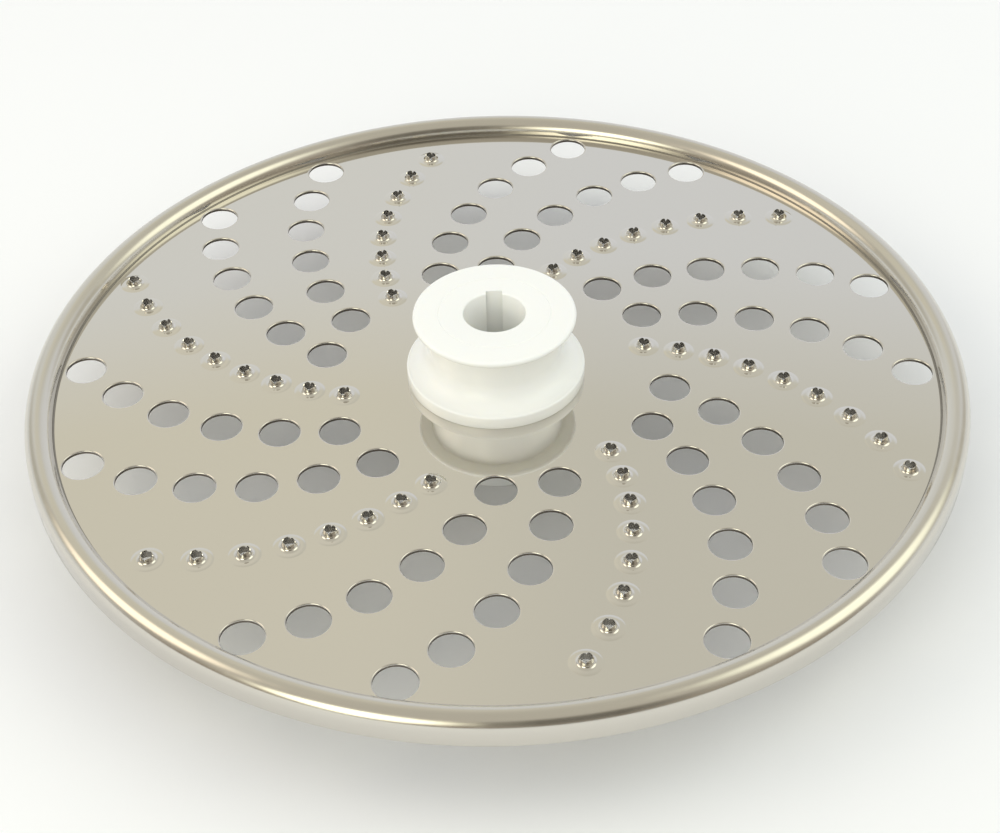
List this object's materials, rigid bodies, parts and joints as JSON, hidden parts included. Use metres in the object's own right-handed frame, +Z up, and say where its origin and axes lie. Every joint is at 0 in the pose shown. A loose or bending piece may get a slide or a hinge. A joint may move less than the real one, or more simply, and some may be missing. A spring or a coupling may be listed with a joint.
{
  "type": "food processor disc",
  "caption": "Round stainless grating disc with a rolled rim, curved rows of punched holes and burst teeth, and a white moulded finger hub with a keyed drive bore.",
  "frame": {"origin": "middle of the boss's foot, on the surface that the disc stands on", "axes": "+Z up along the drive bore, from the boss's foot to the finger spool; the keyway lies on the +Y side of the bore"},
  "size_m": [0.1755, 0.1754, 0.0325],
  "materials": {
    "stainless_sheet": "polished",
    "hub_plastic": "satin"
  },
  "bodies": {
    "root": {"grating_plate": "stainless_sheet", "drive_hub": "hub_plastic"}
  },
  "joints": []
}
